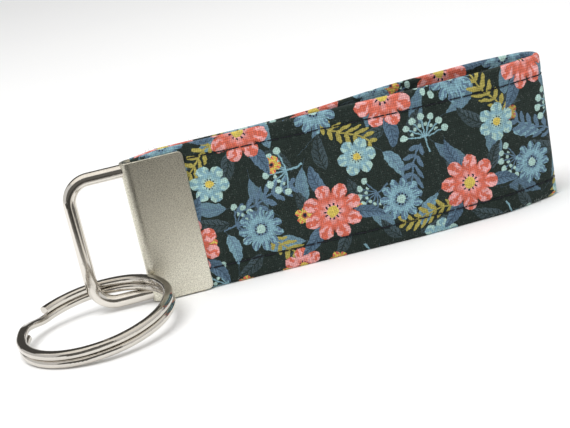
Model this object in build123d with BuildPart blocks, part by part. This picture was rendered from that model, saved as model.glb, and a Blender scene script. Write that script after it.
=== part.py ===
"""Short wristlet key fob: a printed cotton strap folded into a flat loop, its two ends
crimped in a toothed metal clamp, with a fixed wire loop and a double-coil split ring.

Frame: X runs along the strap, from the ring end (-X) to the fold (+X). Z is up: the
strap stands on its long edge. The origin is the middle of the clamp's mouth, on the
plane that the strap's lower edge rests on. Millimetres.
"""
import os
from math import atan2, cos, degrees, radians, sin, sqrt

from build123d import *

# Strap
strap_width = 33.4
strap_thickness = 1.6
strap_edge_radius = 0.5
loop_length = 84.3
mouth_run = 1.5
parting_share = 0.28
front_peak_share = 0.58
front_peak_bulge = 2.4
front_shoulder_share = 0.83
front_shoulder_bulge = 1.1
fold_front_setback = 3.6
fold_back_setback = 10.0
back_shoulder_share = 0.86
back_shoulder_bulge = 12.0
back_rise_share = 0.59
back_rise_bulge = 9.7
mouth_bend_radius = 20.0
parting_bend_radius = 60.0
front_peak_radius = 110.0
front_shoulder_radius = 22.0
fold_radius = 3.6
back_shoulder_radius = 25.0
back_rise_radius = 60.0
layer_gap = 0.04
cover_thickness = 0.45
core_edge_margin = 0.9
core_clearance = 0.03

# Clamp
clamp_width = 32.0
clamp_depth = 13.8
clamp_rise = 0.3
sheet_thickness = 0.7
crimp_clearance = 0.03
spine_bend_radius = 2.2
mouth_corner_radius = 1.2
sheet_edge_radius = 0.2
tooth_count = 13
tooth_height = 0.35
tooth_thickness = 0.8
tooth_setback = 0.5
tooth_fill = 0.8
bite_clearance = 0.04

# Wire loop
wire_diameter = 2.95
wire_loop_inset = 0.3
wire_loop_reach = 13.8
wire_bend_radius = 5.0
wire_head_thickness = 0.6
wire_head_growth = 0.1
wire_hole_clearance = 0.03

# Split ring
ring_outer_diameter = 34.4
ring_wire_width = 2.2
ring_wire_height = 1.7
ring_wire_edge_radius = 0.78
coil_gap = 0.08
joggle_start = 134.0
joggle_span = 32.0
ring_rise_direction = 47.0
bar_clearance = 0.25
clamp_clearance = 0.12
leg_clearance = 0.07
floor_clearance = 0.02

os.makedirs("parts", exist_ok=True)

# Heights and half thicknesses that several pieces share
strap_middle = strap_width / 2
clamp_middle = clamp_rise + clamp_width / 2
layer_offset = (strap_thickness + layer_gap) / 2
jaw_half_gap = layer_offset + strap_thickness / 2 + crimp_clearance
clamp_half_thickness = jaw_half_gap + sheet_thickness
wire_radius = wire_diameter / 2

# Wire loop stations: the bar farthest from the clamp and the two legs
wire_loop_height = clamp_width - 2 * wire_loop_inset
bar_x = -clamp_depth - wire_loop_reach + wire_radius
leg_reach = wire_loop_height / 2 - wire_radius

# The heads of the wire sit where the bend of the spine has opened far enough for them
head_radius = wire_radius + wire_head_growth
inner_bend_radius = spine_bend_radius - sheet_thickness
bend_offset = clamp_half_thickness - spine_bend_radius
bend_x = -clamp_depth + spine_bend_radius
head_overhang = head_radius + wire_hole_clearance - bend_offset
head_x = bend_x - sqrt(inner_bend_radius**2 - head_overhang**2)
strap_end_x = head_x + wire_head_thickness + 4 * crimp_clearance

# ---------------------------------------------------------------------------
# Clamp: one sheet folded round a spine, a row of teeth inside each jaw's mouth
# ---------------------------------------------------------------------------
jaw_length = clamp_depth - sheet_thickness
tooth_pitch = clamp_width / tooth_count
tooth_x = -tooth_setback - tooth_thickness / 2
with BuildPart() as clamp:
    with BuildSketch(Plane.XY.offset(clamp_rise)):
        with Locations((0, 0)):
            Rectangle(clamp_depth, 2 * clamp_half_thickness, align=(Align.MAX, Align.CENTER))
        fillet(vertices().group_by(Axis.X)[0], spine_bend_radius)
        with BuildSketch(mode=Mode.PRIVATE) as channel:
            Rectangle(jaw_length, 2 * jaw_half_gap, align=(Align.MAX, Align.CENTER))
            fillet(channel.vertices().group_by(Axis.X)[0], inner_bend_radius)
        add(channel.sketch, mode=Mode.SUBTRACT)
    extrude(amount=clamp_width)
    mouth_corners = edges().filter_by(Axis.Y).group_by(Axis.X)[-1]
    fillet(mouth_corners, mouth_corner_radius)
    # The sheet's outer rim is one smooth chain, so rounding it from the mouth rounds it all
    mouth_rims = edges().filter_by(Axis.Z).group_by(Axis.X)[-1].sort_by(Axis.Y)
    fillet(mouth_rims[0], sheet_edge_radius)
    with Locations(*[(-clamp_depth, 0, clamp_middle + level) for level in (-leg_reach, leg_reach)]):
        Cylinder(
            wire_radius + wire_hole_clearance,
            2 * spine_bend_radius,
            rotation=(0, 90, 0),
            mode=Mode.SUBTRACT,
        )
    for side in (-1, 1):
        with BuildSketch(Plane((tooth_x, 0, clamp_middle), x_dir=(0, 0, 1), z_dir=(1, 0, 0))):
            with GridLocations(tooth_pitch, 1, tooth_count - 1, 1):
                with BuildLine(mode=Mode.PRIVATE) as tooth:
                    Polyline(
                        (-tooth_fill * tooth_pitch / 2, side * (jaw_half_gap + sheet_thickness / 2)),
                        (-tooth_fill * tooth_pitch / 2, side * jaw_half_gap),
                        (0, side * (jaw_half_gap - tooth_height)),
                        (tooth_fill * tooth_pitch / 2, side * jaw_half_gap),
                        (tooth_fill * tooth_pitch / 2, side * (jaw_half_gap + sheet_thickness / 2)),
                        close=True,
                    )
                add(make_face(tooth.edges(), mode=Mode.PRIVATE))
        extrude(amount=tooth_thickness / 2, both=True)
clamp.part.label = "clamp"
export_step(clamp.part, "parts/clamp.step")

# ---------------------------------------------------------------------------
# Wire loop: one bent wire, its two legs headed inside the spine
# ---------------------------------------------------------------------------
with BuildPart() as wire_loop:
    with BuildLine(Plane((0, 0, clamp_middle), x_dir=(1, 0, 0), z_dir=(0, -1, 0))) as bend:
        FilletPolyline(
            (head_x, leg_reach),
            (bar_x, leg_reach),
            (bar_x, -leg_reach),
            (head_x, -leg_reach),
            radius=wire_bend_radius,
        )
    with BuildSketch(Plane(bend.line @ 0, z_dir=bend.line % 0)):
        Circle(wire_radius)
    sweep(path=bend.line)
    for level in (-leg_reach, leg_reach):
        with BuildSketch(Plane((head_x, 0, clamp_middle + level), z_dir=(1, 0, 0))):
            Circle(head_radius)
        extrude(amount=wire_head_thickness)
wire_loop.part.label = "wire_loop"
export_step(wire_loop.part, "parts/wire_loop.step")

# ---------------------------------------------------------------------------
# Strap: a cotton cover folded round a strip of interfacing, bent into a flat loop
# ---------------------------------------------------------------------------
# Mid-line in plan: out of the clamp at the front, round the fold and back. The back
# layer first lies against the front one, then leaves it to open the wrist loop, whose fold
# stands back from the line of the clamp.
front_peak_x = front_peak_share * loop_length
front_shoulder_x = front_shoulder_share * loop_length
back_shoulder_x = back_shoulder_share * loop_length
back_rise_x = back_rise_share * loop_length
parting_x = parting_share * loop_length
front_lean = (front_peak_bulge - layer_offset) / (front_peak_x - mouth_run)
parting_y = layer_offset + layer_gap - front_lean * (parting_x - mouth_run)
fold_x = loop_length - strap_thickness / 2
strap_stations = [
    (strap_end_x, -layer_offset),
    (mouth_run, -layer_offset),
    (front_peak_x, -front_peak_bulge),
    (front_shoulder_x, -front_shoulder_bulge),
    (fold_x, fold_front_setback),
    (fold_x, fold_back_setback),
    (back_shoulder_x, back_shoulder_bulge),
    (back_rise_x, back_rise_bulge),
    (parting_x, parting_y),
    (mouth_run, layer_offset),
    (strap_end_x, layer_offset),
]
strap_bends = [
    mouth_bend_radius,
    front_peak_radius,
    front_shoulder_radius,
    fold_radius,
    fold_radius,
    back_shoulder_radius,
    back_rise_radius,
    parting_bend_radius,
    mouth_bend_radius,
]
with BuildLine(Plane.XY.offset(strap_middle)) as strap_route:
    FilletPolyline(*strap_stations, radius=strap_bends)
strap_start = Plane(strap_route.line @ 0, x_dir=(0, 1, 0), z_dir=strap_route.line % 0)
channel_thickness = strap_thickness - 2 * cover_thickness
channel_width = strap_width - 2 * core_edge_margin
groove_depth = tooth_height + bite_clearance
groove_width = tooth_thickness + 2 * bite_clearance
with BuildPart() as cotton_sleeve:
    with BuildSketch(strap_start):
        RectangleRounded(strap_thickness, strap_width, strap_edge_radius)
        Rectangle(channel_thickness, channel_width, mode=Mode.SUBTRACT)
    sweep(path=strap_route.line)
    for side in (-1, 1):
        with Locations((tooth_x, side * (jaw_half_gap - groove_depth / 2), strap_middle)):
            Box(groove_width, groove_depth, 2 * strap_width, mode=Mode.SUBTRACT)
cotton_sleeve.part.label = "cotton_sleeve"
export_step(cotton_sleeve.part, "parts/cotton_sleeve.step")

with BuildPart() as interfacing_core:
    with BuildSketch(strap_start):
        Rectangle(channel_thickness - 2 * core_clearance, channel_width - 2 * core_clearance)
    sweep(path=strap_route.line)
interfacing_core.part.label = "interfacing_core"
export_step(interfacing_core.part, "parts/interfacing_core.step")

# ---------------------------------------------------------------------------
# Split ring: one flattened wire wound twice, with a joggle between the coils
# ---------------------------------------------------------------------------
# The ring lies on the table at one side and over the lower leg at the other. In plan it
# is trapped between the back of the bar and the front bend of the clamp's spine.
ring_outer_radius = ring_outer_diameter / 2
ring_inner_radius = ring_outer_radius - ring_wire_width
coil_radius = ring_outer_radius - ring_wire_width / 2
coil_pitch = ring_wire_height + coil_gap
ring_half_height = coil_pitch / 2 + ring_wire_height / 2
ring_y = wire_radius + bar_clearance - ring_inner_radius
bend_reach = ring_outer_radius + spine_bend_radius + clamp_clearance
ring_x = bend_x - sqrt(bend_reach**2 - (ring_y + bend_offset) ** 2)
rise = Vector(cos(radians(ring_rise_direction)), sin(radians(ring_rise_direction)))
leg_top = clamp_middle - leg_reach + wire_radius
inner_crossing = sqrt(ring_inner_radius**2 - ring_y**2)
climb = ring_outer_radius + rise.X * inner_crossing - rise.Y * ring_y
slope = (leg_top + leg_clearance - floor_clearance) / climb
ring_normal = Vector(-slope * rise.X, -slope * rise.Y, 1).normalized()
ring_z = floor_clearance + slope * ring_outer_radius + ring_half_height
ring_plane = Plane((ring_x, ring_y, ring_z), x_dir=(1, 0, slope * rise.X), z_dir=ring_normal)
ring_axis = Axis(ring_plane.origin, ring_plane.z_dir)


def coil_section(angle, height):
    """The plane of the wire's section at an angle round the ring, at a height on its axis."""
    outward = ring_plane.x_dir * cos(radians(angle)) + ring_plane.y_dir * sin(radians(angle))
    centre = ring_plane.origin + outward * coil_radius + ring_plane.z_dir * height
    return Plane(centre, x_dir=outward, z_dir=outward.cross(ring_plane.z_dir))


joggle_end = joggle_start + joggle_span
with BuildPart() as split_ring:
    for start, height in ((joggle_end, -coil_pitch / 2), (joggle_end, coil_pitch / 2)):
        with BuildSketch(coil_section(start, height)):
            RectangleRounded(ring_wire_width, ring_wire_height, ring_wire_edge_radius)
        revolve(axis=ring_axis, revolution_arc=360 - joggle_span)
    for step in range(7):
        share = step / 6
        climb_share = share * share * (3 - 2 * share)
        with BuildSketch(coil_section(joggle_start + share * joggle_span, (climb_share - 0.5) * coil_pitch)):
            RectangleRounded(ring_wire_width, ring_wire_height, ring_wire_edge_radius)
    loft()
split_ring.part.label = "split_ring"
export_step(split_ring.part, "parts/split_ring.step")

for piece in (clamp, wire_loop, cotton_sleeve, interfacing_core, split_ring):
    box = piece.part.bounding_box()
    print(piece.part.label, piece.part.is_valid, len(piece.part.solids()), round(piece.part.volume, 2), box)
print("ring", ring_plane.origin, ring_plane.z_dir, "slope", round(degrees(atan2(slope, 1)), 2))
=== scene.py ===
import math

import bpy
import numpy as np
from mathutils import Matrix, Vector


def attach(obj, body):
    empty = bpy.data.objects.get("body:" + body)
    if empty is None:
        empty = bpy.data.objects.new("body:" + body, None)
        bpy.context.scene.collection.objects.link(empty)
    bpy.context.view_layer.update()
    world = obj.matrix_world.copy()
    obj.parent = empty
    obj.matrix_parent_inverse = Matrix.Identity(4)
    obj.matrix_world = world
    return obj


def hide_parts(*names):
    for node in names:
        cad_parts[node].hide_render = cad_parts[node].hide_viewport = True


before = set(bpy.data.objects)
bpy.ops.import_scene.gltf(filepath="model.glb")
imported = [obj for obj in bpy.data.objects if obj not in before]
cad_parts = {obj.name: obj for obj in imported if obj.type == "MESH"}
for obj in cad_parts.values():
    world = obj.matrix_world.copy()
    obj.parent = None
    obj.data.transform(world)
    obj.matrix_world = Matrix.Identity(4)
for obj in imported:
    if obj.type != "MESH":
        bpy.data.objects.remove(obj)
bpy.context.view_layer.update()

MM = 0.001

# ---------------------------------------------------------------------------
# Sizes in millimetres
# ---------------------------------------------------------------------------
# The strap's section and route, with the same stations and radii as the CAD source
strap_width = 33.4
strap_thickness = 1.6
loop_length = 84.3
layer_offset = 0.82
layer_gap = 0.04
strap_end = -11.24
mouth = (1.5, 0.82)
front_peak = (0.58 * loop_length, -2.4)
front_shoulder = (0.83 * loop_length, -1.1)
fold_x = loop_length - strap_thickness / 2
fold_front = 3.6
fold_back = 10.0
back_shoulder = (0.86 * loop_length, 12.0)
back_rise = (0.59 * loop_length, 9.7)
parting_x = 0.28 * loop_length
bend_radii = [20.0, 110.0, 22.0, 3.6, 3.6, 25.0, 60.0, 60.0, 20.0]

# The strap's soft edges and small unevenness
edge_round = 0.78
edge_power = 2.3
end_trim = 0.75
trim_start = 5.0
trim_reach = 6.0
fold_lean = 0.4
lean_start = 62
lean_reach = 20
edge_sway = 0.16
sway_start = 12
sway_reach = 40
sway_knots = 12
pucker_height = 0.05
pucker_start = 3
pucker_reach = 10
pucker_pitch = 3.1
pucker_inset = 2.0

# How finely the strap is stepped, along its route and across its width
route_step = 0.25
skin_step = 0.55
fine_step = 0.1
arc_turn_per_step = 0.16
edge_stations = 7
station_pitch = 0.62
row_stations = (-0.9, -0.6, -0.38, -0.2, 0.0, 0.2, 0.38, 0.6, 0.9)
row_clearance = 1.1

# Rows of stitches at the clamp and at the fold, and the groove that they pull into the cloth
lower_row = 4.6
upper_row = 30.1
lower_row_at_fold = 4.0
upper_row_at_fold = 28.7
row_depth = 0.26
row_steady_share = 0.62
row_half_width = 0.55
row_end_margin = 1.0

# Stitches
stitch_length = 2.75
stitch_gap = 0.22
stitch_lean = 0.07
stitch_lift = (-0.02, 0.03)
stitch_arch = 0.13
stitch_sink = 0.05
stitch_seat = 0.72
thread_radius = 0.14
thread_tip_share = 0.35
thread_taper = 5.0
twist_bulge = 0.10
twist_turn = 26
thread_ribs = 13
thread_sides = 8

# Loose fibres
fibre_radius = 0.034
fibre_length = (0.35, 1.1)
fibre_inset = (0.05, 0.5)
fibre_foot = 0.1
fibre_bury = 0.05
fibre_droop = 0.5
fibre_clearance = 0.02
fibre_knots = 5
fibre_sides = 3
front_layer_reach = 5.0

# Weave and print
yarn_pitch = 0.43
yarn_drift = 0.9
fleck_size = 0.21
paint_edge = 0.14
brush_wobble = 0.8
print_shift = 9.0
repeat_length = 33.0
repeat_width = 23.5
half_drop = 0.5

# A cell's number, which sets its random draw, is made of its column, its row and the lattice's seed
column_stride = 17.0
row_stride = 131.0

# How far the leaves round a big flower stand from its middle
leaf_round_flower = 8.1

# Studio: how far the floor and the cards reach, and the bright strip of table in front of the clamp
floor_reach = 5000
card_height = 1
card_front = -700
card_side = 700
card_top = 700
card_back = 900
strip_left = -11
strip_right = 14


def srgb(red, green, blue):
    """Linear colour of a screen colour given as 0 to 255."""
    def linear(value):
        value /= 255
        return value / 12.92 if value <= 0.04045 else ((value + 0.055) / 1.055) ** 2.4
    return (linear(red), linear(green), linear(blue), 1.0)


# Colours of the print
ground = srgb(30, 42, 37)
ground_light = srgb(40, 51, 47)
coral = srgb(214, 108, 87)
pink = srgb(236, 170, 168)
sky = srgb(134, 174, 187)
slate = srgb(94, 121, 143)
deep_slate = srgb(58, 78, 96)
mint = srgb(174, 207, 199)
mustard = srgb(214, 192, 92)
olive = srgb(172, 161, 84)
shadow_leaf = srgb(68, 84, 90)
navy = srgb(28, 34, 52)

# Fibres, thread, interfacing, metal and floor, each from its darker to its lighter tone
fibre_tones = (srgb(96, 108, 104), srgb(176, 186, 182))
thread_tones = (srgb(9, 11, 18), srgb(27, 31, 42))
interfacing_tones = (srgb(196, 194, 188), srgb(232, 230, 224))
satin_tones = (srgb(184, 180, 165), srgb(246, 243, 228))
floor_tones = (srgb(248, 248, 248), srgb(252, 252, 251))

# A slightly warm white, as a linear colour
card_colour = (1.0, 0.965, 0.905, 1.0)


# ---------------------------------------------------------------------------
# Formulas in shader nodes
# ---------------------------------------------------------------------------
def give(tree, socket, value):
    """Leads a term or another socket into a socket, or sets a plain value on it."""
    value = value.socket if isinstance(value, Term) else value
    if isinstance(value, bpy.types.NodeSocket):
        tree.links.new(value, socket)
    else:
        socket.default_value = value


class Term:
    """A number in a node tree that can be written into a formula."""

    def __init__(self, tree, socket):
        self.tree = tree
        self.socket = socket

    def op(self, name, *others, first=None, clamp=False):
        """A math node on this term and the others, after first where one is given."""
        node = self.tree.nodes.new("ShaderNodeMath")
        node.operation = name
        node.use_clamp = clamp
        terms = [self, *others] if first is None else [first, self, *others]
        for socket, term in zip(node.inputs, terms):
            give(self.tree, socket, term)
        return Term(self.tree, node.outputs[0])

    def __add__(self, other):
        return self.op("ADD", other)

    def __mul__(self, other):
        return self.op("MULTIPLY", other)

    def __sub__(self, other):
        return self.op("SUBTRACT", other)

    def __rsub__(self, other):
        return self.op("SUBTRACT", first=other)

    def __truediv__(self, other):
        return self.op("DIVIDE", other)

    def __pow__(self, other):
        return self.op("POWER", other)

    def sin(self):
        return self.op("SINE")

    def cos(self):
        return self.op("COSINE")

    def abs(self):
        return self.op("ABSOLUTE")

    def sqrt(self):
        return self.op("SQRT")

    def floor(self):
        return self.op("FLOOR")

    def max(self, other):
        return self.op("MAXIMUM", other)

    def wrap(self, half):
        """The number folded into the range from -half to half."""
        return self.op("WRAP", half, -half)

    def edge(self, softness):
        """0 below zero and 1 above it, with a step of this softness."""
        return (self / softness).op("ADD", 0.5, clamp=True)

    def over(self, level):
        """0 below a level and 1 above it, with a crisp step."""
        return (self - level).edge(0.01)

    def smooth(self, low, high):
        """0 below low and 1 above high, with a smooth rise between them."""
        node = self.tree.nodes.new("ShaderNodeMapRange")
        node.interpolation_type = "SMOOTHSTEP"
        node.inputs["From Min"].default_value = low
        node.inputs["From Max"].default_value = high
        self.tree.links.new(self.socket, node.inputs["Value"])
        return Term(self.tree, node.outputs["Result"])


def distance(x, y):
    """Distance of the place x, y from 0, 0."""
    return (x * x + y * y).sqrt()


def mix(tree, share, under, over):
    """Colour between two colours, each a term, a socket or a plain colour."""
    node = tree.nodes.new("ShaderNodeMix")
    node.data_type = "RGBA"
    factor = 0
    first_colour = 6
    second_colour = 7
    mixed_colour = 2
    give(tree, node.inputs[factor], share)
    give(tree, node.inputs[first_colour], under)
    give(tree, node.inputs[second_colour], over)
    return node.outputs[mixed_colour]


def split(tree, vector):
    """The three numbers of a vector."""
    node = tree.nodes.new("ShaderNodeSeparateXYZ")
    tree.links.new(vector, node.inputs[0])
    return [Term(tree, out) for out in node.outputs]


def channels(tree, colour):
    """The three numbers of a colour."""
    node = tree.nodes.new("ShaderNodeSeparateColor")
    tree.links.new(colour, node.inputs[0])
    return [Term(tree, out) for out in node.outputs]


def noise_node(tree, vector, scale, detail, rough=0.5):
    """A noise texture with scale lumps to a unit of its vector."""
    node = tree.nodes.new("ShaderNodeTexNoise")
    node.inputs["Scale"].default_value = scale
    node.inputs["Detail"].default_value = detail
    node.inputs["Roughness"].default_value = rough
    tree.links.new(vector, node.inputs["Vector"])
    return node


def noise(tree, vector, scale, detail, rough=0.5):
    """Smooth noise, about 0 to 1."""
    return Term(tree, noise_node(tree, vector, scale, detail, rough).outputs["Fac"])


def three_noises(tree, vector, scale, detail):
    """Three smooth noises that don't follow each other."""
    return channels(tree, noise_node(tree, vector, scale, detail).outputs["Color"])


def random_at(tree, *parts):
    """A random number that is the same wherever the parts are the same."""
    place = tree.nodes.new("ShaderNodeCombineXYZ")
    for socket, part in zip(place.inputs, parts):
        give(tree, socket, part)
    node = tree.nodes.new("ShaderNodeTexWhiteNoise")
    node.noise_dimensions = "3D"
    tree.links.new(place.outputs[0], node.inputs["Vector"])
    return Term(tree, node.outputs["Value"])


def object_point(tree):
    """The place on the object, in metres."""
    return tree.nodes.new("ShaderNodeTexCoord").outputs["Object"]


def new_material(name, **sockets):
    """A material, its node tree and its shader. A socket's name is given with _ for each space."""
    material = bpy.data.materials.new(name)
    material.use_nodes = True
    tree = material.node_tree
    shader = tree.nodes["Principled BSDF"]
    for socket, value in sockets.items():
        shader.inputs[socket.replace("_", " ")].default_value = value
    return material, tree, shader


def set_colour(tree, shader, share, under, over):
    """A base colour that goes from under to over with share."""
    tree.links.new(mix(tree, share, under, over), shader.inputs["Base Color"])


def set_bump(tree, shader, height, depth, strength=1.0):
    """A surface that stands depth millimetres proud where height is 1."""
    node = tree.nodes.new("ShaderNodeBump")
    node.inputs["Distance"].default_value = depth * MM
    node.inputs["Strength"].default_value = strength
    tree.links.new(height.socket, node.inputs["Height"])
    tree.links.new(node.outputs[0], shader.inputs["Normal"])


# ---------------------------------------------------------------------------
# Printed motifs: each is a node group that paints itself over the colour under it.
# Lengths in a motif are shares of its radius.
# ---------------------------------------------------------------------------
def start_motif(name, colours, numbers=()):
    """A node group for a motif about its own middle, with its inputs and its local x and y."""
    group = bpy.data.node_groups.new(name, "ShaderNodeTree")
    face = group.interface
    face.new_socket(name="Under", in_out="INPUT", socket_type="NodeSocketColor")
    for number in ("X", "Y", "Size", "Shown", "Brush", *numbers):
        face.new_socket(name=number, in_out="INPUT", socket_type="NodeSocketFloat")
    for colour in colours:
        face.new_socket(name=colour, in_out="INPUT", socket_type="NodeSocketColor")
    face.new_socket(name="Over", in_out="OUTPUT", socket_type="NodeSocketColor")
    source = group.nodes.new("NodeGroupInput")
    given = {out.name: Term(group, out) for out in source.outputs if out.name}
    given["Edge"] = (given["Size"] ** -1.0) * paint_edge
    return group, given, given["X"] / given["Size"], given["Y"] / given["Size"]


def end_motif(group, given, colour):
    """Closes a motif: its colour covers the one under it where Shown is 1."""
    sink = group.nodes.new("NodeGroupOutput")
    colour = mix(group, given["Shown"], given["Under"], colour)
    group.links.new(colour, sink.inputs["Over"])
    return group


def outer_petals(group, given, radius, turn):
    """The outer round: petals streaked towards their tips, with dark creases between them."""
    valley = 0.60
    petal_length = 0.40
    lobe = (turn * 0.5).cos().abs()
    rim = lobe ** 0.55 * petal_length + valley
    inside = (rim - radius).edge(given["Edge"])
    stroke = (turn * 2.0 + given["Brush"] * 9.0).sin().smooth(-0.35, 0.4)
    stroke = stroke * (radius / rim).smooth(0.42, 0.62)
    painted = mix(group, stroke, given["Petal"], given["Streak"])
    colour = mix(group, inside, given["Under"], painted)
    crease = (radius - 0.40).smooth(0.0, 0.12) * (0.24 - lobe).edge(0.10) * inside
    return mix(group, crease * 0.55, colour, ground)


def inner_petals(group, given, radius, turn, colour):
    """The inner round: petals between the outer ones, with a thin halo."""
    valley = 0.36
    petal_length = 0.24
    halo_width = 0.06
    rim = (turn * 0.5).sin().abs() ** 0.7 * petal_length + valley
    inside = (rim - radius).edge(given["Edge"])
    halo = (rim + halo_width - radius).edge(given["Edge"]) - inside
    colour = mix(group, halo * 0.65, colour, given["Petal"])
    shade = (radius / rim + given["Brush"] * 0.5).smooth(0.6, 1.15)
    painted = mix(group, shade, given["Streak"], given["Petal"])
    return mix(group, inside, colour, painted)


def blossom_group():
    """A flower seen from above: two rounds of petals, a heart and a ring of specks round it."""
    group, given, x, y = start_motif("blossom", ("Petal", "Streak", "Heart"), ("Petals",))
    heart_radius = 0.20
    speck_ring = 0.25
    speck_radius = 0.045
    specks = 11.0
    radius = distance(x, y)
    angle = y.op("ARCTAN2", x)
    turn = angle * given["Petals"]
    colour = outer_petals(group, given, radius, turn)
    colour = inner_petals(group, given, radius, turn, colour)
    colour = mix(group, (heart_radius - radius).edge(given["Edge"]), colour, given["Heart"])
    on_ring = (speck_radius - (radius - speck_ring).abs()).edge(given["Edge"])
    speck = (angle * specks).cos().smooth(0.1, 0.6) * on_ring
    return end_motif(group, given, mix(group, speck, colour, navy))


def leaf_group():
    """A slightly bent pointed leaf with a middle vein, slanting ribs and one half of another tone."""
    group, given, x, y = start_motif("leaf", ("Blade", "Vein"))
    bend = 0.16
    half_width = 0.37
    narrowing = 0.12
    vein_width = 0.035
    y = y + (x * x - 0.35) * bend
    side = y.abs()
    width = (1.0 - x * x).max(0.0) ** 0.8 * (x * -narrowing + half_width)
    inside = (0.9 - side / (width + 0.02)).op("MULTIPLY", 4.0, clamp=True)
    ribs = ((x * 1.25 - side * 1.3) * 17.0).sin().smooth(0.45, 0.95) * inside
    middle = (vein_width - side).edge(given["Edge"])
    colour = mix(group, ribs.max(middle) * 0.85, given["Blade"], given["Vein"])
    colour = mix(group, y.edge(0.3) * 0.35, colour, given["Vein"])
    colour = mix(group, (width - side).edge(given["Edge"]), given["Under"], colour)
    return end_motif(group, given, colour)


def fern_group():
    """A wavy stem with a row of leaflets on each side, shorter towards both ends."""
    group, given, x, y = start_motif("fern", ("Frond",))
    edge = given["Edge"]
    stem_width = 0.030
    wave = 0.16
    slant = 0.75
    half_pitch = 0.15
    longest = 0.40
    shortest = 0.02
    belly = 0.092
    y = y - (x * 2.2).sin() * wave
    side = y.abs()
    stem = (stem_width - side).edge(edge) * (1.0 - x.abs()).edge(0.05)
    lean = x - side * slant
    offset = lean.wrap(half_pitch)
    middle = lean - offset
    reach = (1.0 - (middle * 0.9) * (middle * 0.9)).max(0.0).sqrt() * longest + shortest
    along = side / reach * 2.0 - 1.0
    width = (1.0 - along * along).max(0.0).sqrt() * belly
    leaflet = (width - offset.abs()).edge(edge) * (1.0 - middle.abs()).edge(0.02)
    leaflet = leaflet * (reach - side).edge(0.01)
    return end_motif(group, given, mix(group, stem.max(leaflet), given["Under"], given["Frond"]))


def disc(radius, offset, middle, size):
    """Distance inside the rim of a disc of this size. Its middle is at a radius of middle, offset round."""
    apart = radius * radius - radius * offset.cos() * (2 * middle) + middle ** 2
    return size - apart.max(0.0).sqrt()


def umbel_group():
    """A stalk with a fan of rays, a round head on each ray and a small bud between heads."""
    group, given, x, y = start_motif("umbel", ("Head", "Stalk"))
    edge = given["Edge"]
    step = 0.46
    ray_width = 0.028
    ray_length = 0.80
    stalk_width = 0.034
    stalk_length = 0.62
    stalk_bend = 0.18
    head_at = 0.84
    head_radius = 0.135
    bud_at = 0.52
    bud_radius = 0.075
    radius = distance(x, y)
    angle = x.op("ARCTAN2", y)
    offset = angle.wrap(step / 2)
    fan = (step * 3.5 - angle.abs()).edge(0.05)
    ray = (ray_width - (offset * radius).abs()).edge(edge) * (ray_length - radius).edge(edge) * fan
    aside = x - (y * y) * stalk_bend
    stalk = (stalk_width - aside.abs()).edge(edge) * (0.0 - y).edge(edge) * (y + stalk_length).edge(edge)
    heads = disc(radius, offset, head_at, head_radius).edge(edge) * fan
    between = (angle + step / 2).wrap(step / 2)
    buds = disc(radius, between, bud_at, bud_radius).edge(edge) * (step * 2.6 - angle.abs()).edge(0.05)
    colour = mix(group, ray.max(stalk), given["Under"], given["Stalk"])
    return end_motif(group, given, mix(group, heads.max(buds), colour, given["Head"]))


# ---------------------------------------------------------------------------
# Printed cotton
# ---------------------------------------------------------------------------
class Print:
    """The colour of the printed cloth at a place on it, built up one motif over another."""

    def __init__(self, tree, cloth):
        along, across, _ = split(tree, cloth)
        wobble_along, wobble_across, brush = three_noises(tree, cloth, scale=0.9, detail=2.0)
        self.tree = tree
        self.brush = brush
        self.along = along + wobble_along * brush_wobble + print_shift
        self.across = across + wobble_across * brush_wobble
        self.colour = mix(tree, brush, ground, ground_light)

    def scatter(self, seed, cell, start, jitter):
        """Place in a lattice of cells, each moved and turned at random, and its two random numbers."""
        down = (self.across - start[1]) / cell[1]
        row = down.floor()
        right = (self.along - start[0]) / cell[0] + row * half_drop
        column = right.floor()
        number = column * column_stride + row * row_stride + seed
        dice = self.tree.nodes.new("ShaderNodeTexWhiteNoise")
        dice.noise_dimensions = "1D"
        self.tree.links.new(number.socket, dice.inputs["W"])
        first, second, third = channels(self.tree, dice.outputs["Color"])
        x = (right - column - 0.5) * cell[0] + (first - 0.5) * jitter
        y = (down - row - 0.5) * cell[1] + (second - 0.5) * jitter
        turn = third * math.tau
        return x * turn.cos() + y * turn.sin(), y * turn.cos() - x * turn.sin(), first, second

    def paint(self, group, x, y, size, shown=1.0, **looks):
        """Paints a motif, where x and y are the place from the motif's middle."""
        node = self.tree.nodes.new("ShaderNodeGroup")
        node.node_tree = group
        values = {"Under": self.colour, "X": x, "Y": y, "Size": size, "Brush": self.brush, "Shown": shown}
        for name, value in {**values, **looks}.items():
            give(self.tree, node.inputs[name], value)
        self.colour = node.outputs["Over"]


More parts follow.
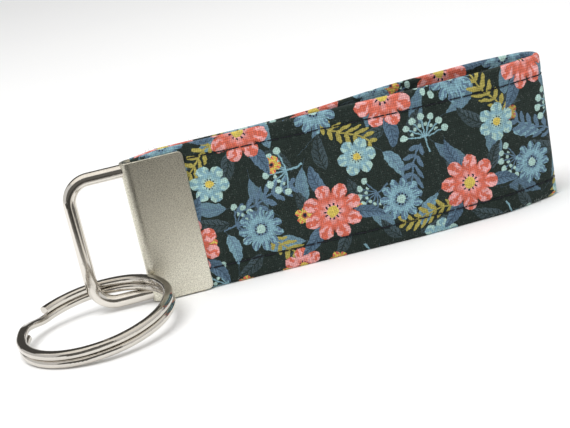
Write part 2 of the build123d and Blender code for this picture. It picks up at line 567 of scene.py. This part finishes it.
def paint_leaves(cloth, wide, close, leaf):
    """Pale and shadowy leaves, ferns and umbels."""
    fern = fern_group()
    umbel = umbel_group()
    x, y, first, second = cloth.scatter(seed=3.0, cell=close, start=(1.0, 2.0), jitter=3.5)
    blade = mix(cloth.tree, first, deep_slate, sky)
    cloth.paint(leaf, x, y, second * 1.6 + 3.2, shown=first.over(0.15), Blade=blade, Vein=slate)
    x, y, _, second = cloth.scatter(seed=19.0, cell=close, start=(7.0, 9.0), jitter=3.5)
    cloth.paint(leaf, x, y, second * 1.2 + 3.4, Blade=shadow_leaf, Vein=ground)
    x, y, _, _ = cloth.scatter(seed=11.0, cell=wide, start=(19.0, 6.0), jitter=3.0)
    cloth.paint(fern, x, y, size=7.0, Frond=slate)
    x, y, _, _ = cloth.scatter(seed=29.0, cell=wide, start=(6.0, 17.0), jitter=3.0)
    cloth.paint(fern, x, y, size=6.2, Frond=olive)
    x, y, _, _ = cloth.scatter(seed=41.0, cell=wide, start=(25.0, 12.0), jitter=2.0)
    cloth.paint(umbel, x, y, size=5.8, Head=mint, Stalk=sky)
    x, y, _, _ = cloth.scatter(seed=53.0, cell=wide, start=(12.0, 2.0), jitter=2.0)
    cloth.paint(umbel, x, y, size=5.0, Head=mint, Stalk=slate)


def paint_flowers(cloth, wide, close, leaf):
    """Small buds, asters and six-petal flowers, then the big flowers on their six leaves."""
    blossom = blossom_group()
    x, y, first, _ = cloth.scatter(seed=67.0, cell=close, start=(6.5, 7.0), jitter=3.0)
    some = first.over(0.6)
    cloth.paint(blossom, x, y, size=2.1, shown=some, Petals=5.0, Petal=mustard, Streak=coral, Heart=navy)
    x, y, _, _ = cloth.scatter(seed=71.0, cell=wide, start=(16.5, 0.0), jitter=2.0)
    cloth.paint(blossom, x, y, size=5.0, Petals=11.0, Petal=sky, Streak=slate, Heart=mint)
    x, y, first, _ = cloth.scatter(seed=83.0, cell=wide, start=(8.0, 12.0), jitter=2.0)
    blue = first.over(0.3)
    petal = mix(cloth.tree, blue, pink, sky)
    streak = mix(cloth.tree, blue, coral, mint)
    cloth.paint(blossom, x, y, size=4.4, Petals=6.0, Petal=petal, Streak=streak, Heart=mustard)
    x, y, _, _ = cloth.scatter(seed=97.0, cell=wide, start=(0.0, 0.0), jitter=2.0)
    angle = y.op("ARCTAN2", x).wrap(math.pi / 3)
    radius = distance(x, y)
    leaf_x = radius * angle.cos() - leaf_round_flower
    cloth.paint(leaf, leaf_x, radius * angle.sin(), size=4.0, Blade=slate, Vein=deep_slate)
    cloth.paint(blossom, x, y, size=6.7, Petals=8.0, Petal=coral, Streak=pink, Heart=mustard)


def print_colour(tree, place):
    """The colour of the printed cloth at a place on it."""
    cloth = Print(tree, place)
    wide = (repeat_length, repeat_width)
    close = (repeat_length / 3, repeat_width / 2)
    leaf = leaf_group()
    paint_leaves(cloth, wide, close, leaf)
    paint_flowers(cloth, wide, close, leaf)
    return cloth.colour


def weave(tree, cloth):
    """Height of a plain weave, 0 to 1, and a random tint for its yarns and their crossings."""
    along, across, _ = split(tree, cloth)
    drift = noise(tree, cloth, scale=0.35, detail=1.0) * yarn_drift
    warp = (along + drift) * (math.pi / yarn_pitch)
    weft = (across + drift * 0.7) * (math.pi / yarn_pitch)
    over = warp.sin() * weft.sin()
    warp_top = weft.sin().abs() * over.edge(0.8)
    weft_top = warp.sin().abs() * (over * -1.0).edge(0.8)
    height = warp_top.max(weft_top)
    warp_yarn = (warp / math.pi).floor()
    weft_yarn = (weft / math.pi).floor()
    tint = random_at(tree, warp_yarn, 3.0, 1.0) * 0.4 + random_at(tree, weft_yarn, 9.0, 5.0) * 0.4
    tint = tint + random_at(tree, warp_yarn, weft_yarn, 2.0) * 0.5
    return height, tint


def make_printed_cotton():
    """Woven cotton with a generic floral print, yarns of random tint, painted shade in the dips of the weave
    and a few pale flecks.
    """
    material, tree, shader = new_material(
        "printed_cotton", Roughness=0.88, Specular_IOR_Level=0.2, Sheen_Weight=0.07, Sheen_Roughness=0.45
    )
    attribute = tree.nodes.new("ShaderNodeAttribute")
    attribute.attribute_name = "cloth"
    cloth = attribute.outputs["Vector"]
    colour = print_colour(tree, cloth)
    height, tint = weave(tree, cloth)
    # Painted shade: the print is darkened where the weave sinks between yarns, together with each yarn's
    # random tint
    shade = height * 0.50 + tint * 0.36 + 0.40
    lit = tree.nodes.new("ShaderNodeVectorMath")
    lit.operation = "SCALE"
    tree.links.new(colour, lit.inputs[0])
    tree.links.new(shade.socket, lit.inputs["Scale"])
    along, across, _ = split(tree, cloth)
    fleck = random_at(tree, (along / fleck_size).floor(), (across / fleck_size).floor(), 4.0)
    set_colour(tree, shader, fleck.smooth(0.93, 1.0) * 0.10, lit.outputs[0], fibre_tones[1])
    fuzz = noise(tree, cloth, scale=3.2, detail=2.0)
    set_bump(tree, shader, height + fuzz * 0.5, depth=0.09, strength=0.9)
    return material


# ---------------------------------------------------------------------------
# Other materials
# ---------------------------------------------------------------------------
def make_fibre():
    """Loose cotton fibre, grey with paler stretches."""
    material, tree, shader = new_material("cotton_fibre", Roughness=0.8, Specular_IOR_Level=0.2)
    tone = noise(tree, object_point(tree), scale=900.0, detail=1.0)
    set_colour(tree, shader, tone, *fibre_tones)
    return material


def make_thread():
    """Dark twisted sewing thread."""
    material, tree, shader = new_material(
        "dark_thread", Roughness=0.7, Specular_IOR_Level=0.25, Sheen_Weight=0.04
    )
    strands = noise(tree, object_point(tree), scale=9000.0, detail=2.0)
    set_colour(tree, shader, strands, *thread_tones)
    set_bump(tree, shader, strands, depth=0.03, strength=0.6)
    return material


def make_interfacing():
    """Stiff pale non-woven cloth inside the strap."""
    material, tree, shader = new_material("interfacing", Roughness=0.95, Specular_IOR_Level=0.2)
    fibres = noise(tree, object_point(tree), scale=4000.0, detail=3.0)
    set_colour(tree, shader, fibres, *interfacing_tones)
    set_bump(tree, shader, fibres, depth=0.05)
    return material


def make_satin_nickel():
    """Nickel plate with a fine matt grain and faint clouds."""
    material, tree, shader = new_material("satin_nickel", Metallic=1.0, Roughness=0.3)
    point = object_point(tree)
    grain = noise(tree, point, scale=4200.0, detail=3.0, rough=0.7)
    cloud = noise(tree, point, scale=160.0, detail=3.0)
    tone = grain.smooth(0.34, 0.66) * 0.85 + cloud * 0.15
    set_colour(tree, shader, tone, *satin_tones)
    give(tree, shader.inputs["Roughness"], grain * 0.16 + cloud * 0.06 + 0.19)
    set_bump(tree, shader, grain, depth=0.05, strength=0.8)
    return material


def make_polished_nickel(name, waviness, least_roughness, tone):
    """Bright nickel plate: waviness in mm tilts its reflections, and tone is the red of its lighter grey."""
    material, tree, shader = new_material(name, Metallic=1.0, Roughness=least_roughness)
    point = object_point(tree)
    scuff = noise(tree, point, scale=900.0, detail=4.0, rough=0.65)
    cloud = noise(tree, point, scale=120.0, detail=2.0)
    darker = srgb(tone - 16, tone - 21, tone - 29)
    lighter = srgb(tone, tone - 5, tone - 13)
    set_colour(tree, shader, cloud, darker, lighter)
    give(tree, shader.inputs["Roughness"], scuff.smooth(0.5, 0.8) * 0.16 + least_roughness)
    wavy = noise(tree, point, scale=95.0, detail=1.0) + scuff * 0.02
    set_bump(tree, shader, wavy, depth=waviness, strength=0.6)
    return material


def dress(node, material):
    """Gives every face of a CAD node one material."""
    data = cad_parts[node].data
    data.materials.clear()
    data.materials.append(material)
    data.polygons.foreach_set("material_index", [0] * len(data.polygons))


# ---------------------------------------------------------------------------
# Meshes
# ---------------------------------------------------------------------------
def add_mesh(name, points, faces, material, smooth=False):
    """A new mesh object in the scene, from points in millimetres."""
    mesh = bpy.data.meshes.new(name)
    mesh.from_pydata((np.array(points) * MM).tolist(), [], faces)
    mesh.polygons.foreach_set("use_smooth", [smooth] * len(faces))
    mesh.materials.append(material)
    mesh.update()
    made = bpy.data.objects.new(name, mesh)
    bpy.context.scene.collection.objects.link(made)
    return made


def tube_faces(base, ribs, sides, turned=False):
    """Faces of a closed tube of ribs, whose points start at base. Turned gives them the other winding."""
    faces = []
    last = base + (ribs - 1) * sides
    for rib in range(base, last, sides):
        for k in range(sides):
            n = (k + 1) % sides
            faces.append((rib + k, rib + n, rib + n + sides, rib + k + sides))
    faces.append(tuple(range(base, base + sides))[::-1])
    faces.append(tuple(range(last, last + sides)))
    return [face[::-1] for face in faces] if turned else faces


def ramp(x, start, reach):
    """0 up to start, then rising evenly to 1 over a reach."""
    return np.clip((x - start) / reach, 0, 1)


def distances(points):
    """How far along a line each of its points is."""
    steps = np.linalg.norm(np.diff(points, axis=0), axis=1)
    return np.concatenate(([0.0], np.cumsum(steps)))


def smooth_noise(rng, count, knots):
    """A smooth random line through evenly spaced random knots, about -1 to 1."""
    at = np.linspace(0, knots - 1, count)
    raw = rng.uniform(-1, 1, knots + 2)
    low = np.floor(at).astype(int)
    part = at - low
    part = part * part * (3 - 2 * part)
    return raw[low] * (1 - part) + raw[low + 1] * part


# ---------------------------------------------------------------------------
# The strap's middle line, seen from above
# ---------------------------------------------------------------------------
def rounded_route(points, radii, step):
    """Points along straight runs joined by arcs, about a step apart."""
    points = [np.array(p, float) for p in points]
    route = [points[0]]

    def run_to(target):
        start = route[-1]
        count = max(1, int(np.linalg.norm(target - start) / step))
        route.extend(start + (target - start) * k / count for k in range(1, count + 1))

    for before, corner, after, radius in zip(points, points[1:], points[2:], radii):
        into = (corner - before) / np.linalg.norm(corner - before)
        out = (after - corner) / np.linalg.norm(after - corner)
        turn = math.atan2(into[0] * out[1] - into[1] * out[0], float(into @ out))
        cut = abs(math.tan(turn / 2)) * radius
        run_to(corner - into * cut)
        left = math.copysign(1.0, turn)
        centre = route[-1] + left * radius * np.array((-into[1], into[0]))
        spoke = route[-1] - centre
        count = max(2, int(abs(turn) * radius / step), int(abs(turn) / arc_turn_per_step))
        for k in range(1, count + 1):
            a = turn * k / count
            c, s = math.cos(a), math.sin(a)
            route.append(centre + np.array((c * spoke[0] - s * spoke[1], s * spoke[0] + c * spoke[1])))
    run_to(points[-1])
    return np.array(route)


def even(route, step):
    """How far along a line evenly spaced points are, and the points, about a step apart."""
    run = distances(route)
    at = np.linspace(0.0, run[-1], int(run[-1] / step) + 1)
    return at, np.stack([np.interp(at, run, route[:, k]) for k in range(2)], axis=1)


def strap_line(step):
    """Stations of the strap's middle line: run along it, places, and directions along it and outward."""
    lean = (front_peak[1] + layer_offset) / (front_peak[0] - mouth[0])
    parting_y = layer_offset + layer_gap + lean * (parting_x - mouth[0])
    stations = [
        (strap_end, -layer_offset),
        (mouth[0], -mouth[1]),
        front_peak,
        front_shoulder,
        (fold_x, fold_front),
        (fold_x, fold_back),
        back_shoulder,
        back_rise,
        (parting_x, parting_y),
        mouth,
        (strap_end, layer_offset),
    ]
    run, line = even(rounded_route(stations, bend_radii, route_step), step)
    along = np.gradient(line, axis=0)
    along /= np.linalg.norm(along, axis=1)[:, None]
    outward = np.stack((along[:, 1], -along[:, 0]), axis=1)
    return run, line, along, outward


# ---------------------------------------------------------------------------
# Strap: a closed soft band
# ---------------------------------------------------------------------------
def row_height(row, x):
    """Height of a stitched row, which drops a little from the clamp to the fold."""
    at_fold = lower_row_at_fold if row == lower_row else upper_row_at_fold
    return row + (at_fold - row) * ramp(x, 0, loop_length)


def warped(heights, x):
    """Heights across the strap, moved so that the stitched rows keep their stations."""
    level = [0, lower_row, upper_row, strap_width]
    trim = end_trim * ramp(-x, trim_start, trim_reach)
    moved = [0, row_height(lower_row, x), row_height(upper_row, x), strap_width - trim]
    return np.interp(heights, level, moved)


def leaned(x, z):
    """How far the fold stands out at the top and in at the bottom."""
    return fold_lean * (2 * z / strap_width - 1) * ramp(x, lean_start, lean_reach) ** 2


def width_stations():
    """Heights across the strap: close together at its edges and at the stitched rows."""
    edge = edge_round * (1 - np.cos(np.linspace(0, math.pi / 2, edge_stations)))
    inner = list(np.arange(edge_round + 0.5, strap_width - edge_round - 0.3, station_pitch))
    for row in (lower_row, upper_row):
        inner = [z for z in inner if abs(z - row) > row_clearance]
        inner += [row + d for d in row_stations]
    return np.array([*edge, *sorted(inner), *(strap_width - edge[::-1])])


def half_thickness(z):
    """Half the strap's thickness at a height across it, before stitching."""
    inset = np.minimum(z, strap_width - z)
    share = np.clip(inset / edge_round, 0, 1)
    return strap_thickness / 2 * (1 - (1 - share) ** edge_power) ** (1 / edge_power)


def surface_offset(run, z, side, pucker):
    """How far the cloth's face stands from the strap's middle line: drawn in most at the needle holes."""
    stitch_share = (run / (stitch_length + stitch_gap)) % 1.0
    pulled = 0.55 + 0.45 * np.cos(stitch_share * math.tau)
    depth = row_depth * (row_steady_share + (1 - row_steady_share) * pulled)
    out = half_thickness(z)
    for row in (lower_row, upper_row):
        out = out - depth * np.exp(-((z - row) / row_half_width) ** 2)
    near_edge = np.exp(-((np.minimum(z, strap_width - z) - pucker_inset) ** 2))
    puff = pucker_height * near_edge * np.cos(run * math.tau / pucker_pitch + side)
    return out + puff * pucker


def strap_rows(run, line, outward, heights, column, side):
    """Points once round the strap's section at each station of its line."""
    section = heights[column]
    rng = np.random.default_rng(5)
    free = ramp(line[:, 0], sway_start, sway_reach)
    at_edges = (heights / strap_width - 0.5) ** 2 * 4
    wander = smooth_noise(rng, len(run), sway_knots)
    sway = wander[:, None] * at_edges[None, :] * edge_sway * free[:, None]
    pucker = ramp(line[:, 0], pucker_start, pucker_reach)
    rows = []
    for k in range(len(run)):
        offset = surface_offset(run[k], section, side, pucker[k]) * side + sway[k, column]
        place = line[k] + offset[:, None] * outward[k]
        place[:, 0] += leaned(place[:, 0], section)
        rows.append(np.column_stack((place, warped(section, line[k, 0]))))
    return np.array(rows)


def strap_faces(run, around):
    """Quads between rows and a fan over each end, and each corner's place on the cloth."""
    count = len(run)
    size = len(around) - 1
    fan_depth = 0.4
    faces = []
    cloth = []
    for k in range(count - 1):
        for j in range(size):
            n = (j + 1) % size
            faces.append((k * size + j, (k + 1) * size + j, (k + 1) * size + n, k * size + n))
            corners = ((k, j), (k + 1, j), (k + 1, j + 1), (k, j + 1))
            cloth += [(run[a], around[b], 0) for a, b in corners]
    for k, middle in ((0, count * size), (count - 1, count * size + 1)):
        for j in range(size):
            n = (j + 1) % size
            rim = (k * size + j, k * size + n) if k == 0 else (k * size + n, k * size + j)
            faces.append((*rim, middle))
            cloth += [(run[k], across, 1) for across in (around[j], around[j + 1], around[j] + fan_depth)]
    return faces, cloth


def build_strap(material):
    """The strap's skin. Its attribute cloth holds run along the strap and run round its section, in mm."""
    run, line, _, outward = strap_line(skin_step)
    heights = width_stations()
    top = len(heights) - 1
    column = np.concatenate((np.arange(top + 1), np.arange(top - 1, 0, -1)))
    side = np.where(np.arange(len(column)) <= top, 1.0, -1.0)
    rows = strap_rows(run, line, outward, heights, column, side)
    profile = np.column_stack((half_thickness(heights[column]) * side, heights[column]))
    faces, cloth = strap_faces(run, distances(np.vstack((profile, profile[:1]))))
    ends = [rows[0].mean(axis=0), rows[-1].mean(axis=0)]
    strap = add_mesh("strap", np.vstack((rows.reshape(-1, 3), *ends)), faces, material, smooth=True)
    attribute = strap.data.attributes.new("cloth", "FLOAT_VECTOR", "CORNER")
    attribute.data.foreach_set("vector", np.array(cloth, np.float32).ravel())
    return strap


# ---------------------------------------------------------------------------
# Stitches and loose fibres
# ---------------------------------------------------------------------------
def stitch_rib(row, spot, away, share, lean, lift):
    """Points round a stitch's thread at a share of its length: thin at its ends and twisted."""
    radius = thread_radius * min(1.0, thread_tip_share + thread_taper * min(share, 1 - share))
    arch = math.sin(share * math.pi) ** 0.35
    depth = half_thickness(row) - row_depth * stitch_seat + stitch_arch * arch - stitch_sink + lift
    height = row_height(row, spot[0]) + lean * (share - 0.5) * 2
    middle = spot + away * depth
    middle[0] += leaned(middle[0], height)
    points = []
    for k in range(thread_sides):
        a = math.tau * k / thread_sides
        bulge = radius * (1 + twist_bulge * math.cos(2 * a - share * twist_turn))
        points.append((*(middle + away * bulge * math.cos(a)), height + bulge * math.sin(a)))
    return points


def build_stitches(name, row, material):
    """One row of topstitching: separate stitches of twisted thread on both faces of the strap."""
    run, line, _, outward = strap_line(fine_step)
    pitch = stitch_length + stitch_gap
    first = math.ceil(row_end_margin / pitch)
    last = int((run[-1] - row_end_margin) / pitch)
    rng = np.random.default_rng(int(row * 10))
    points = []
    faces = []
    for side in (1.0, -1.0):
        for index in range(first, last):
            lean = rng.uniform(-stitch_lean, stitch_lean)
            lift = rng.uniform(*stitch_lift)
            faces += tube_faces(len(points), thread_ribs, thread_sides, turned=side > 0)
            for share in np.linspace(0.0, 1.0, thread_ribs):
                at = index * pitch + 0.5 * stitch_gap + share * stitch_length
                spot = np.array([np.interp(at, run, line[:, k]) for k in range(2)])
                away = np.array([np.interp(at, run, outward[:, k]) for k in range(2)])
                away *= side / np.linalg.norm(away)
                points += stitch_rib(row, spot, away, share, lean, lift)
    return add_mesh(name, points, faces, material, smooth=True)


def fibre_points(root, away, droop, length):
    """Points round a curved hair that thins towards its tip."""
    points = []
    for share in np.linspace(0.0, 1.0, fibre_knots):
        spot = root + length * (away * share + droop * share * share)
        radius = fibre_radius * (1 - 0.6 * share)
        for side in range(fibre_sides):
            a = math.tau * side / fibre_sides
            points.append(spot + radius * np.array((math.cos(a), 0.5 * math.cos(a), math.sin(a))))
    return points


def build_fibres(material):
    """Loose cotton fibres on the front layer: most at its foot by the fold and its top by the clamp."""
    _, line, along, outward = strap_line(fine_step)
    rng = np.random.default_rng(31)
    places = [(rng.triangular(62, 78, 84), False) for _ in range(70)]
    places += [(rng.uniform(2, 60), False) for _ in range(30)]
    places += [(rng.triangular(-10, -6, 30), True) for _ in range(50)]
    points = []
    faces = []
    for x, upper in places:
        k = int(np.argmin(np.where(line[:, 1] < front_layer_reach, np.abs(line[:, 0] - x), np.inf)))
        inset = rng.uniform(*fibre_inset)
        z = warped(strap_width, line[k, 0]) - inset if upper else inset + fibre_foot
        root = np.array((*(line[k] + outward[k] * (half_thickness(inset) - fibre_bury)), z))
        lie = rng.uniform(-1, 1)
        away = np.array((*(outward[k] * rng.uniform(0.2, 1.0) + along[k] * lie), rng.uniform(-0.2, 0.9)))
        away /= np.linalg.norm(away)
        droop = np.array((rng.uniform(-1, 1), 0, rng.uniform(-0.4, 0.8))) * fibre_droop
        length = rng.uniform(*fibre_length)
        faces += tube_faces(len(points), fibre_knots, fibre_sides)
        points += fibre_points(root, away, droop, length)
    points = np.array(points)
    points[:, 2] = np.maximum(points[:, 2], fibre_clearance)
    return add_mesh("loose_fibres", points, faces, material)


# ---------------------------------------------------------------------------
# Camera, floor and light
# ---------------------------------------------------------------------------
def place_camera(spot, pitch, yaw, roll, focal_pixels):
    """A camera at a spot in mm, tipped down by pitch, turned right by yaw and rolled, in degrees."""
    image_width = 570
    camera = bpy.data.objects.new("camera", bpy.data.cameras.new("camera"))
    bpy.context.scene.collection.objects.link(camera)
    camera.data.sensor_width = 36.0
    camera.data.lens = focal_pixels * camera.data.sensor_width / image_width
    camera.data.clip_start = 0.01
    camera.data.clip_end = 30.0
    pitch, yaw, roll = (math.radians(a) for a in (pitch, yaw, roll))
    ahead = Vector((
        math.sin(yaw) * math.cos(pitch),
        math.cos(yaw) * math.cos(pitch),
        -math.sin(pitch),
    ))
    right = Vector((math.cos(yaw), -math.sin(yaw), 0.0))
    up = right.cross(ahead)
    right, up = (
        right * math.cos(roll) + up * math.sin(roll),
        up * math.cos(roll) - right * math.sin(roll),
    )
    turn = Matrix((right, up, -ahead)).transposed()
    camera.matrix_world = Matrix.Translation(Vector(spot) * MM) @ turn.to_4x4()
    bpy.context.scene.camera = camera


def rectangle(x, y, z):
    """Corners of a rectangle between two x, two y and two z, level or upright."""
    return [(x[0], y[0], z[0]), (x[1], y[0], z[0]), (x[1], y[1], z[1]), (x[0], y[1], z[1])]


def make_floor():
    """A pale table that is part of the staging only."""
    material, tree, shader = new_material("pale_floor", Roughness=0.9, Specular_IOR_Level=0.15)
    soft = noise(tree, object_point(tree), scale=3.0, detail=2.0)
    set_colour(tree, shader, soft, *floor_tones)
    reach = (-floor_reach, floor_reach)
    floor = add_mesh("floor", rectangle(reach, reach, (0, 0)), [(0, 1, 2, 3)], material)


def make_card(name, x, y, z, strength, far_strength=None, fade=None):
    """A card that only reflections see. Its strength can change towards the front, over fade metres."""
    material = bpy.data.materials.new(name)
    material.use_nodes = True
    tree = material.node_tree
    tree.nodes.clear()
    glow = tree.nodes.new("ShaderNodeEmission")
    glow.inputs["Color"].default_value = card_colour
    level = strength
    if far_strength is not None:
        _, back, _ = split(tree, object_point(tree))
        level = (back * -1.0).smooth(0.0, fade) * (far_strength - strength) + strength
    give(tree, glow.inputs["Strength"], level)
    sink = tree.nodes.new("ShaderNodeOutputMaterial")
    tree.links.new(glow.outputs[0], sink.inputs["Surface"])
    card = add_mesh(name, rectangle(x, y, z), [(0, 1, 2, 3)], material)
    card.visible_camera = False
    card.visible_diffuse = False
    card.visible_shadow = False
    card.visible_transmission = False


def make_lamp(name, spot, target, size, power):
    """A square lamp at a spot, aimed at a target, all in metres."""
    data = bpy.data.lights.new(name, "AREA")
    data.shape = "SQUARE"
    data.size = size
    data.energy = power
    lamp = bpy.data.objects.new(name, data)
    bpy.context.scene.collection.objects.link(lamp)
    aim = Vector(target) - Vector(spot)
    lamp.matrix_world = Matrix.Translation(spot) @ aim.to_track_quat("-Z", "Y").to_matrix().to_4x4()


def make_world(strength):
    """Even white light from all sides."""
    world = bpy.data.worlds.new("studio")
    bpy.context.scene.world = world
    world.use_nodes = True
    background = world.node_tree.nodes["Background"]
    background.inputs["Color"].default_value = (1.0, 1.0, 1.0, 1.0)
    background.inputs["Strength"].default_value = strength


# ---------------------------------------------------------------------------
# Build
# ---------------------------------------------------------------------------
dress("clamp", make_satin_nickel())
wire_nickel = make_polished_nickel("polished_nickel", waviness=0.1, least_roughness=0.11, tone=232)
dress("wire_loop", wire_nickel)
ring_nickel = make_polished_nickel("polished_nickel_tumbled", waviness=2.4, least_roughness=0.08, tone=220)
dress("split_ring", ring_nickel)
dress("interfacing_core", make_interfacing())

strap = build_strap(make_printed_cotton())
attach(strap, "fob")
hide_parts("cotton_sleeve")

thread = make_thread()
for name, row in (("topstitch_lower", lower_row), ("topstitch_upper", upper_row)):
    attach(build_stitches(name, row, thread), "fob")
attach(build_fibres(make_fibre()), "fob")

place_camera(spot=(-8.2, -260.0, 85.7), pitch=15.7, yaw=6.02, roll=-12.41, focal_pixels=1216.0)
make_floor()
make_world(strength=0.72)
make_lamp("key", spot=(-0.28, -0.22, 0.95), target=(0.02, 0.0, 0.0), size=0.7, power=6.5)

# Cards: a bright strip of table in front of the clamp, darker beside it and further out, a dark front and
# back, and a bright overhead between them
on_table = (card_height, card_height)
at_top = (card_top, card_top)
make_card(
    "table_card", (strip_left, strip_right), (card_front, -33), on_table,
    strength=1.0, far_strength=0.54, fade=0.16,
)
make_card(
    "left_table_card", (-card_side, strip_left), (card_front, -36), on_table,
    strength=0.66, far_strength=0.06, fade=0.085,
)
make_card(
    "right_table_card", (strip_right, card_side), (card_front, -20), on_table,
    strength=0.62, far_strength=0.12, fade=0.06,
)
make_card("front_card", (-1500, 400), (card_front, card_front), (card_height, 780), strength=0.13)
make_card("softbox_card", (-card_side, card_side), (-560, 380), at_top, strength=1.0)
make_card("ceiling_card", (-card_back, card_back), (400, card_back), at_top, strength=0.08)
make_card("back_card", (-card_back, card_back), (card_back, card_back), (215, card_top), strength=0.08)

bpy.context.scene.view_settings.view_transform = "Standard"
